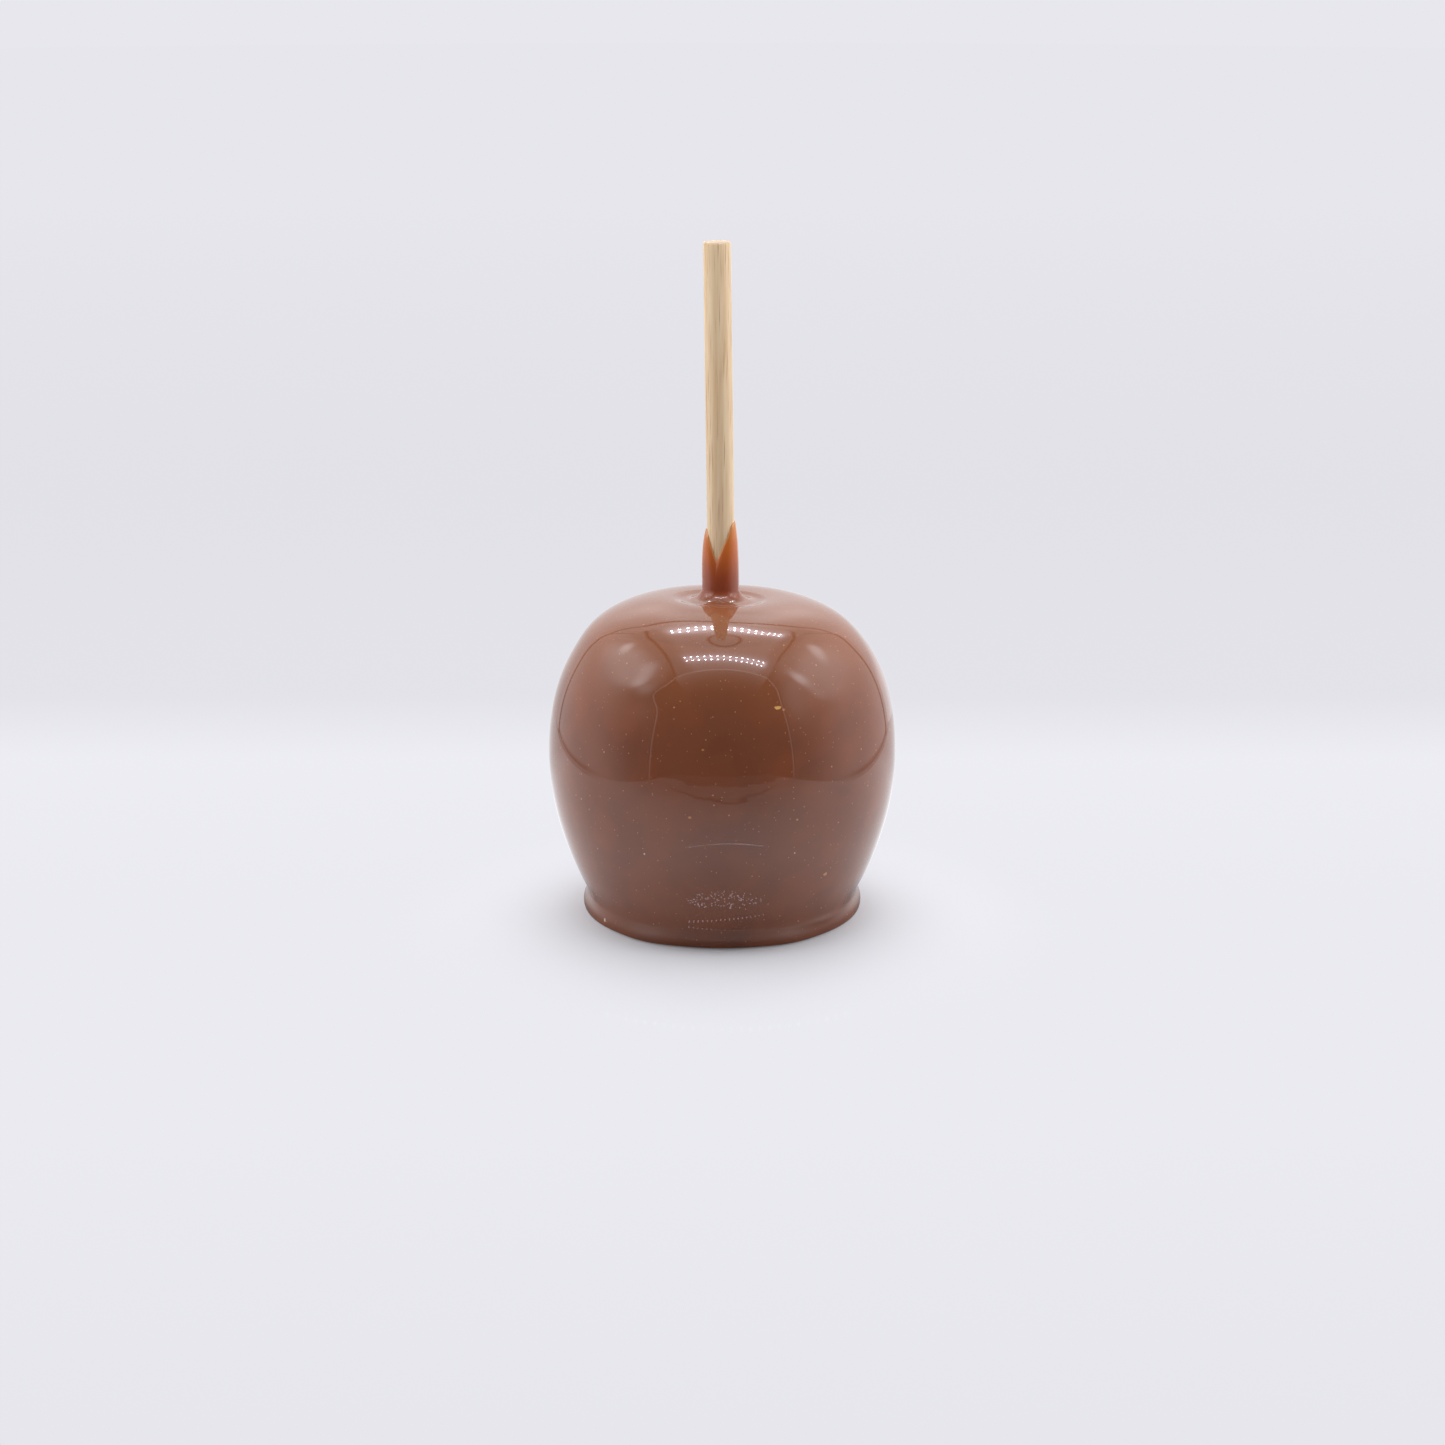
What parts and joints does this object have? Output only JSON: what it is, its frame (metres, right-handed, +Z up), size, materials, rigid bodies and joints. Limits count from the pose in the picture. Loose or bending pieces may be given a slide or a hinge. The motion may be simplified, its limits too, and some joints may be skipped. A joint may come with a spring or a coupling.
{
  "type": "chocolate caramel apple",
  "caption": "Whole apple in a smooth glossy milk-brown caramel coat that pooled into a flat round foot, on an upright round wooden stick with caramel climbing its base.",
  "frame": {"origin": "middle of the foot's flat underside, on the surface that the apple stands on", "axes": "+Z up along the apple and its stick, -Y towards a viewer at the front"},
  "size_m": [0.0824, 0.0824, 0.1588],
  "materials": {
    "caramel_coat": "very glossy set caramel and milk chocolate, opaque brown, orange where it is thin",
    "pale_wood": "bare pale dowel, fine straight grain, matt"
  },
  "bodies": {
    "root": {"coated_apple": "caramel_coat", "stick": "pale_wood"}
  },
  "joints": []
}
